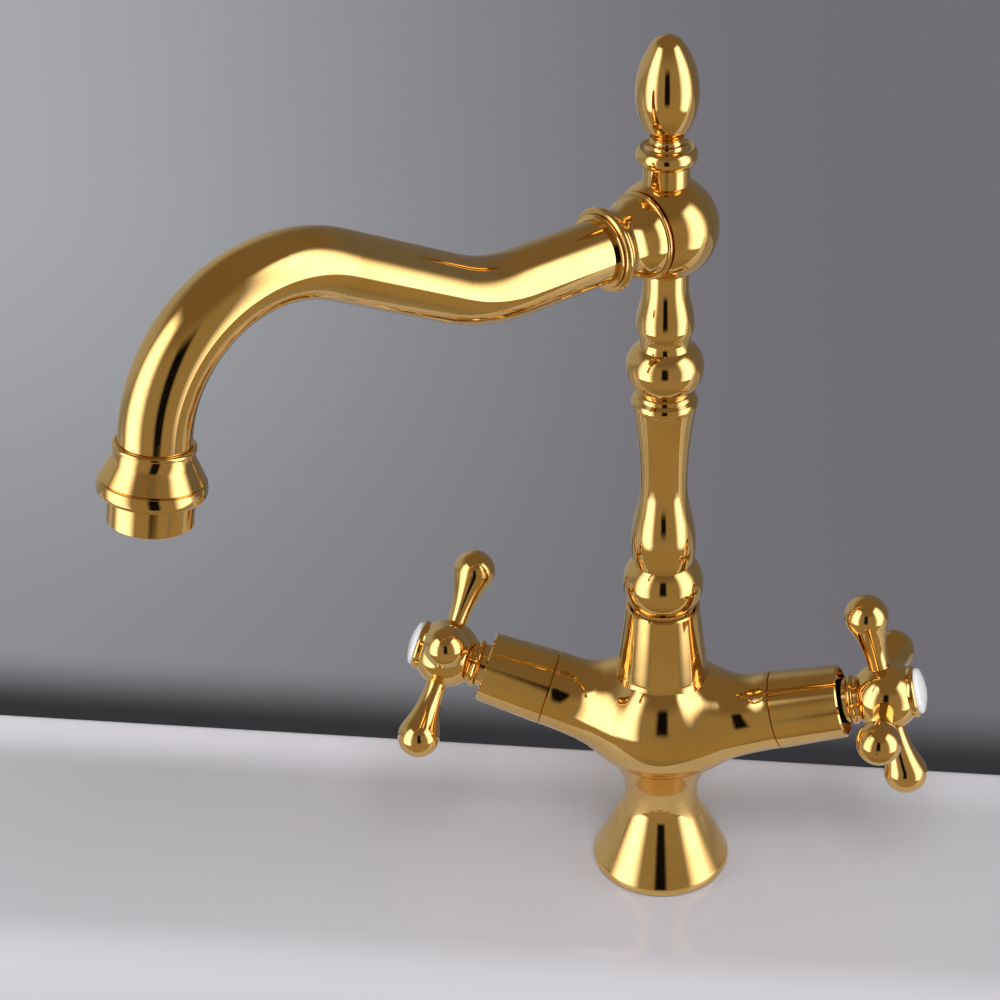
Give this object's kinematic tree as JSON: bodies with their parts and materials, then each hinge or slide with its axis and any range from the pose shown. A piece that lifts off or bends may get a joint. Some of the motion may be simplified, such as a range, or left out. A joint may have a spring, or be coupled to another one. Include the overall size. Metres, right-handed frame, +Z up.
{
  "type": "bathroom mixer faucet",
  "caption": "Deck-mounted bathroom mixer faucet in polished gold, with a turned column, a finial, a swivelling swan-neck spout and cross handles on tilted valve arms.",
  "frame": {"origin": "centre of the gasket's underside, on the top of the basin or counter the faucet stands on", "axes": "+Z up along the column, +X to the cold handle, -Y towards the user; the spout is shown swung to the user's left front, as in the picture"},
  "size_m": [0.2318, 0.1981, 0.3663],
  "materials": {
    "polished_gold": "polished gold plating on brass",
    "plain_brass": "machined, unplated brass",
    "white_porcelain": "glossy white glaze",
    "valve_ceramic": "lapped alumina, unglazed",
    "black_rubber": "matt moulded rubber",
    "steel": "turned stainless steel",
    "white_plastic": "moulded acetal, satin"
  },
  "bodies": {
    "base": {"mixer_body": "polished_gold", "foot": "polished_gold", "foot_gasket": "black_rubber", "mounting_stud": "steel", "rubber_crescent": "black_rubber", "horseshoe_washer": "steel", "clamp_nut": "steel", "swivel_bearing": "white_plastic", "swivel_set_screw": "steel", "hot_sleeve": "polished_gold", "hot_cartridge_body": "plain_brass", "hot_fixed_disc": "valve_ceramic", "hot_seat_seal": "black_rubber", "hot_cartridge_oring": "black_rubber", "cold_sleeve": "polished_gold", "cold_cartridge_body": "plain_brass", "cold_fixed_disc": "valve_ceramic", "cold_seat_seal": "black_rubber", "cold_cartridge_oring": "black_rubber"},
    "spout": {"column_shaft": "polished_gold", "column_knop": "polished_gold", "spigot_orings": "black_rubber", "head_ball": "polished_gold", "finial_base": "polished_gold", "finial_knob": "polished_gold", "spout_adapter": "polished_gold", "spout_collar": "polished_gold", "tube_seal": "black_rubber", "spout_tube": "polished_gold", "outlet_bell": "polished_gold", "aerator_housing": "polished_gold", "aerator_insert": "white_plastic", "aerator_washer": "black_rubber"},
    "hot_handle": {"hot_handle_hub": "polished_gold", "hot_spoke_1": "polished_gold", "hot_spoke_2": "polished_gold", "hot_spoke_3": "polished_gold", "hot_spoke_4": "polished_gold", "hot_index_bezel": "polished_gold", "hot_index_button": "white_porcelain", "hot_handle_screw": "steel", "hot_spindle": "plain_brass", "hot_moving_disc": "valve_ceramic", "hot_retaining_clip": "steel"},
    "cold_handle": {"cold_handle_hub": "polished_gold", "cold_spoke_1": "polished_gold", "cold_spoke_2": "polished_gold", "cold_spoke_3": "polished_gold", "cold_spoke_4": "polished_gold", "cold_index_bezel": "polished_gold", "cold_index_button": "white_porcelain", "cold_handle_screw": "steel", "cold_spindle": "plain_brass", "cold_moving_disc": "valve_ceramic", "cold_retaining_clip": "steel"}
  },
  "joints": [
    {"name": "spout_swivel", "type": "hinge", "parent": "base", "child": "spout", "pos_m": [0, 0, 0.1135], "axis": [0, 0, 1], "continuous": true},
    {"name": "hot_handle_turn", "type": "hinge", "parent": "base", "child": "hot_handle", "pos_m": [-0.06725, 0, 0.07971], "axis": [-0.9608, 0, 0.2773], "range_deg": [0, 90]},
    {"name": "cold_handle_turn", "type": "hinge", "parent": "base", "child": "cold_handle", "pos_m": [0.06725, 0, 0.07971], "axis": [0.9608, 0, 0.2773], "range_deg": [-90, 0]}
  ]
}
